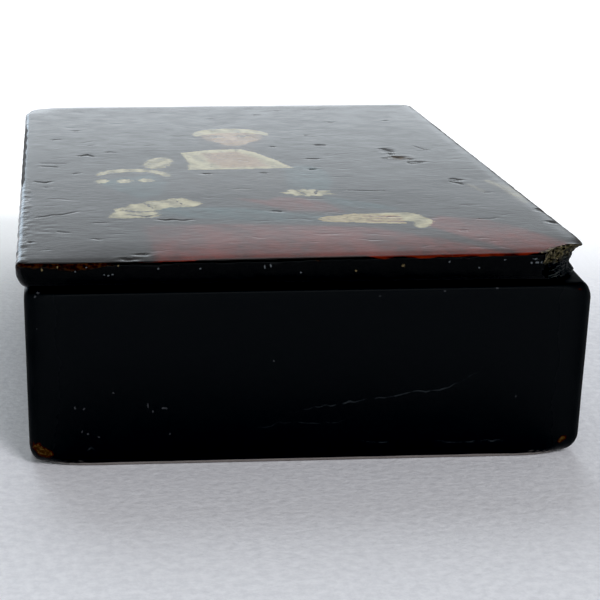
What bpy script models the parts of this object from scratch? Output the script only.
"""Rectangular snuff box of lacquered papier-mache: a hollow body and a lift-off lid that drops over its collar.

Units are metres and +Z is up. The origin is under the middle of the whole box, on the table.
+X runs to the right along the short front, and +Y runs back along the long side.
"""

import math

import bmesh
import bpy

# Body, outside. It is hand-made: a little taller on the right, and its left side leans in more than the others.
BODY_WIDTH = 0.05633
BODY_DEPTH = 0.0870
SHOULDER_HEIGHT = 0.01825
SHOULDER_RISE = 0.0005
BASE_TAPER = 0.00015
BASE_TAPER_LEFT = 0.00036
CORNER_RADIUS = 0.0014
BASE_EDGE_RADIUS = 0.0006
SHOULDER_EDGE_SET_IN = 0.00035
SHOULDER_EDGE_DROP = 0.0009

# Body, inside, and the collar that the lid drops over. The wall is as thick as the shoulder and the collar.
SHOULDER_WIDTH = 0.0016
COLLAR_THICKNESS = 0.0011
COLLAR_HEIGHT = 0.0012
COLLAR_RADIUS = 0.0045
COLLAR_EASING = 0.0003
FLOOR = 0.0021
WELL_FILLET = 0.0015

# Lid. It is thicker on the right, hangs over on the left and stops a little short of the body on the right.
LID_PLATE = 0.00184
LID_RISE = 0.0011
OVERHANG_LEFT = 0.000775
OVERHANG_RIGHT = -0.000355
OVERHANG_FRONT = 0.0006
OVERHANG_BACK = 0.0005
LID_CORNER_RADIUS = 0.0014
ARRIS_RADIUS = 0.0003
LID_BAND = 0.0005
NECK_SET_IN = 0.00035
SEAT_GAP = 0.0003
COLLAR_CLEARANCE = 0.0003

# Broken corner of the lid, at the front on the right. The break is deepest at its waist, low down, and runs out
# a little again towards the seat.
CHIP_ALONG_FRONT = 0.0049
CHIP_ALONG_SIDE = 0.0031
CHIP_WAIST_ALONG_FRONT = 0.0054
CHIP_WAIST_ALONG_SIDE = 0.0078
CHIP_WAIST_HEIGHT = 0.00066
CHIP_FOOT_ALONG_FRONT = 0.0050
CHIP_FOOT_ALONG_SIDE = 0.0059
CHIP_ROUGHNESS = 0.00014

# The break's curves: how hollow it is under the top layers, how it bows out in plan, and its waves
CHIP_HOLLOW = 1.15
CHIP_BOW = 1.3
CHIP_LONG_WAVE = (7.3, 2.1)
CHIP_SHORT_WAVE = (3.1, -4.7)

# How finely round stretches are cut, and the sharpest turn between faces that still looks smooth
SMALLEST_RADIUS = 0.0002
CORNER_STEPS = 8
EDGE_STEPS = 5
MOULDING_STEPS = 7
CHIP_LEVELS = 14
CHIP_STEPS = 10
SHARP_DEGREES = 35

# Finishes, each a colour and a roughness
LACQUER = (0.006, 0.006, 0.007, 1.0), 0.16
VARNISHED_PICTURE = (0.020, 0.016, 0.014, 1.0), 0.22
BARE_PULP = (0.10, 0.07, 0.04, 1.0), 0.9


class Sides:
    """The four sides of a rectangle in plan: left and right in X, front and back in Y."""

    def __init__(self, left, right, front, back):
        self.left, self.right, self.front, self.back = left, right, front, back

    def grown(self, by):
        """The same rectangle with every side moved out by one amount."""
        return Sides(self.left - by, self.right + by, self.front - by, self.back + by)

    def towards(self, other, share):
        """A rectangle part of the way from this one to another."""
        def mix(mine, theirs):
            return mine + (theirs - mine) * share

        return Sides(
            mix(self.left, other.left),
            mix(self.right, other.right),
            mix(self.front, other.front),
            mix(self.back, other.back),
        )


def body_sides():
    """The body in plan, set so that the middle of the whole box is over the origin."""
    shift_x = (max(OVERHANG_LEFT, 0) - max(OVERHANG_RIGHT, 0)) / 2
    shift_y = (max(OVERHANG_FRONT, 0) - max(OVERHANG_BACK, 0)) / 2
    return Sides(
        shift_x - BODY_WIDTH / 2,
        shift_x + BODY_WIDTH / 2,
        shift_y - BODY_DEPTH / 2,
        shift_y + BODY_DEPTH / 2,
    )


def base_sides():
    """The body in plan at the table, where its sides have leaned in."""
    base = body_sides().grown(-BASE_TAPER)
    base.left = body_sides().left + BASE_TAPER_LEFT
    return base


def lid_sides():
    """The lid in plan, at its widest."""
    body = body_sides()
    return Sides(
        body.left - OVERHANG_LEFT,
        body.right + OVERHANG_RIGHT,
        body.front - OVERHANG_FRONT,
        body.back + OVERHANG_BACK,
    )


def shared_sides():
    """The part of the plan that the body and the lid both cover."""
    body, lid = body_sides(), lid_sides()
    return Sides(
        max(body.left, lid.left),
        min(body.right, lid.right),
        max(body.front, lid.front),
        min(body.back, lid.back),
    )


def collar_outside():
    """The collar's outer face in plan."""
    return shared_sides().grown(-SHOULDER_WIDTH)


def slant(x, rise):
    """The extra height at a place across the box of something that climbs by rise over the lid's width."""
    outline = lid_sides()
    return rise * x / (outline.right - outline.left)


def shoulder_height(x):
    """The height of the body's shoulder. It climbs to the right."""
    return SHOULDER_HEIGHT + slant(x, SHOULDER_RISE)


def collar_height(x):
    """The height of the collar's rim."""
    return shoulder_height(x) + COLLAR_HEIGHT


def seat_height(x):
    """The height of the lid's lowest edge, just clear of the shoulder."""
    return shoulder_height(x) + SEAT_GAP


def recess_top(x):
    """The height of the recess's ceiling inside the lid, clear of the collar."""
    return seat_height(x) + COLLAR_HEIGHT


def lid_top(x):
    """The height of the lid's top. It climbs to the right."""
    return SHOULDER_HEIGHT + SEAT_GAP + COLLAR_HEIGHT + LID_PLATE + slant(x, LID_RISE)


def quarter(steps):
    """Pairs of (sine, one minus cosine) from 0 to 90 degrees: a quarter round's run and rise."""
    for i in range(steps + 1):
        angle = math.pi / 2 * i / steps
        yield math.sin(angle), 1 - math.cos(angle)


def rounded_loop(sides, radius, height):
    """Points round a rectangle with round corners. height is a number, or a function of X."""
    radius = max(radius, SMALLEST_RADIUS)
    corners = (
        (sides.right - radius, sides.back - radius, 0),
        (sides.left + radius, sides.back - radius, 90),
        (sides.left + radius, sides.front + radius, 180),
        (sides.right - radius, sides.front + radius, 270),
    )
    points = []
    for centre_x, centre_y, start in corners:
        for i in range(CORNER_STEPS + 1):
            angle = math.radians(start + 90 * i / CORNER_STEPS)
            x = centre_x + radius * math.cos(angle)
            y = centre_y + radius * math.sin(angle)
            points.append((x, y, height(x) if callable(height) else height))
    return points


def loft(name, loops, material):
    """A closed solid through a run of loops, capped flat at both ends."""
    mesh = bpy.data.meshes.new(name)
    build = bmesh.new()
    rings = [[build.verts.new(point) for point in loop] for loop in loops]
    count = len(rings[0])
    for lower, upper in zip(rings, rings[1:]):
        for i in range(count):
            j = (i + 1) % count
            build.faces.new((lower[i], lower[j], upper[j], upper[i]))
    build.faces.new(list(reversed(rings[0])))
    build.faces.new(rings[-1])
    bmesh.ops.recalc_face_normals(build, faces=build.faces)
    build.to_mesh(mesh)
    build.free()
    mesh.shade_smooth()
    mesh.set_sharp_from_angle(angle=math.radians(SHARP_DEGREES))
    mesh.materials.append(material)
    thing = bpy.data.objects.new(name, mesh)
    bpy.context.scene.collection.objects.link(thing)
    return thing


def finish_material(name, finish):
    """A material from a finish: its colour and roughness."""
    colour, roughness = finish
    material = bpy.data.materials.new(name)
    material.use_nodes = True
    shader = material.node_tree.nodes["Principled BSDF"]
    shader.inputs["Base Color"].default_value = colour
    shader.inputs["Roughness"].default_value = roughness
    shader.inputs["Metallic"].default_value = 0.0
    material.diffuse_color = colour
    return material


def body_loops():
    """Outside from the base up to the shoulder, over the collar, and down the well to its floor."""
    outer = body_sides()
    base = base_sides()
    loops = []

    for run, rise in quarter(EDGE_STEPS):
        set_in = BASE_EDGE_RADIUS * (1 - run)
        loops.append(rounded_loop(base.grown(-set_in), CORNER_RADIUS - set_in, BASE_EDGE_RADIUS * rise))

    for run, rise in quarter(EDGE_STEPS):
        def eased(x, run=run):
            return shoulder_height(x) - SHOULDER_EDGE_DROP * (1 - run)

        set_in = SHOULDER_EDGE_SET_IN * rise
        loops.append(rounded_loop(outer.grown(-set_in), CORNER_RADIUS - set_in, eased))

    collar = collar_outside()
    easing = min(COLLAR_EASING, COLLAR_THICKNESS / 3, COLLAR_HEIGHT / 2)

    def below_rim(x):
        return collar_height(x) - easing

    loops.append(rounded_loop(collar, COLLAR_RADIUS, shoulder_height))
    loops.append(rounded_loop(collar, COLLAR_RADIUS, below_rim))
    loops.append(rounded_loop(collar.grown(-easing), COLLAR_RADIUS - easing, collar_height))

    well = collar.grown(-COLLAR_THICKNESS)
    well_radius = COLLAR_RADIUS - COLLAR_THICKNESS
    loops.append(rounded_loop(well.grown(easing), well_radius + easing, collar_height))
    loops.append(rounded_loop(well, well_radius, below_rim))
    for run, rise in quarter(EDGE_STEPS):
        height = FLOOR + WELL_FILLET * (1 - run)
        loops.append(rounded_loop(well.grown(-WELL_FILLET * rise), well_radius, height))
    return loops


def lid_loops():
    """The lid from its top face, round the moulded edge, and up into the recess over the collar."""
    rim = lid_sides()
    neck = shared_sides().grown(-NECK_SET_IN)
    neck_radius = CORNER_RADIUS - NECK_SET_IN
    loops = []

    for run, rise in quarter(EDGE_STEPS):
        def arris(x, rise=rise):
            return lid_top(x) - ARRIS_RADIUS * rise

        set_in = ARRIS_RADIUS * (1 - run)
        loops.append(rounded_loop(rim.grown(-set_in), LID_CORNER_RADIUS - set_in, arris))

    for run, rise in quarter(MOULDING_STEPS):
        def moulded(x, run=run):
            band_foot = lid_top(x) - LID_BAND
            return band_foot + (seat_height(x) - band_foot) * run

        radius = LID_CORNER_RADIUS + (neck_radius - LID_CORNER_RADIUS) * rise
        loops.append(rounded_loop(rim.towards(neck, rise), radius, moulded))

    recess = collar_outside().grown(COLLAR_CLEARANCE)
    recess_radius = COLLAR_RADIUS + COLLAR_CLEARANCE
    loops.append(rounded_loop(recess, recess_radius, seat_height))
    loops.append(rounded_loop(recess, recess_radius, recess_top))
    return loops


def chip_reach(height):
    """How far the break reaches along the lid's front and along its side at a height."""
    right = lid_sides().right
    waist = seat_height(right) + CHIP_WAIST_HEIGHT
    if height >= waist:
        share = min(1.0, (height - waist) / (lid_top(right) - waist)) ** CHIP_HOLLOW
        front = CHIP_WAIST_ALONG_FRONT + (CHIP_ALONG_FRONT - CHIP_WAIST_ALONG_FRONT) * share
        side = CHIP_WAIST_ALONG_SIDE + (CHIP_ALONG_SIDE - CHIP_WAIST_ALONG_SIDE) * share
        return front, side
    share = min(1.0, (waist - height) / CHIP_WAIST_HEIGHT)
    flare = 1 - math.sqrt(1 - share * share)
    front = CHIP_WAIST_ALONG_FRONT + (CHIP_FOOT_ALONG_FRONT - CHIP_WAIST_ALONG_FRONT) * flare
    side = CHIP_WAIST_ALONG_SIDE + (CHIP_FOOT_ALONG_SIDE - CHIP_WAIST_ALONG_SIDE) * flare
    return front, side


def chip_cutter():
    """What the broken corner lost: a rough slanting face with a waist under the top layers."""
    rim = lid_sides()
    bottom = seat_height(rim.right) - SEAT_GAP / 2
    top = lid_top(rim.right) + SEAT_GAP
    clear = CHIP_ALONG_FRONT
    loops = []
    for level in range(CHIP_LEVELS + 1):
        height = bottom + (top - bottom) * level / CHIP_LEVELS
        front, side = chip_reach(height)
        loop = [
            (rim.right + clear, rim.front - clear, height),
            (rim.right - front, rim.front - clear, height),
        ]
        for i in range(CHIP_STEPS + 1):
            along = i / CHIP_STEPS
            long_wave = math.sin(CHIP_LONG_WAVE[0] * i + CHIP_LONG_WAVE[1] * level)
            short_wave = math.sin(CHIP_SHORT_WAVE[0] * i + CHIP_SHORT_WAVE[1] * level)
            rough = CHIP_ROUGHNESS * long_wave * short_wave
            x = rim.right - front * (1 - along) ** CHIP_BOW - rough
            y = rim.front + side * along ** CHIP_BOW + rough
            loop.append((x, y, height))
        loop.append((rim.right + clear, rim.front + side, height))
        loops.append(loop)
    cutter = loft("chip_cutter", loops, finish_material("bare_pulp", BARE_PULP))
    cutter.data.shade_flat()
    cutter.hide_render = True
    cutter.display_type = "WIRE"
    return cutter


def make_body():
    """The hollow body: walls, floor and the collar above its shoulder."""
    return loft("body", body_loops(), finish_material("black_lacquer", LACQUER))


def make_lid():
    """The lid, with its front corner broken off on the right."""
    lid = loft("lid", lid_loops(), finish_material("painted_lid", VARNISHED_PICTURE))
    broken = lid.modifiers.new("broken_corner", "BOOLEAN")
    broken.operation = "DIFFERENCE"
    broken.solver = "EXACT"
    broken.object = chip_cutter()
    return lid


def main():
    for thing in list(bpy.data.objects):
        bpy.data.objects.remove(thing)
    make_body()
    make_lid()


main()
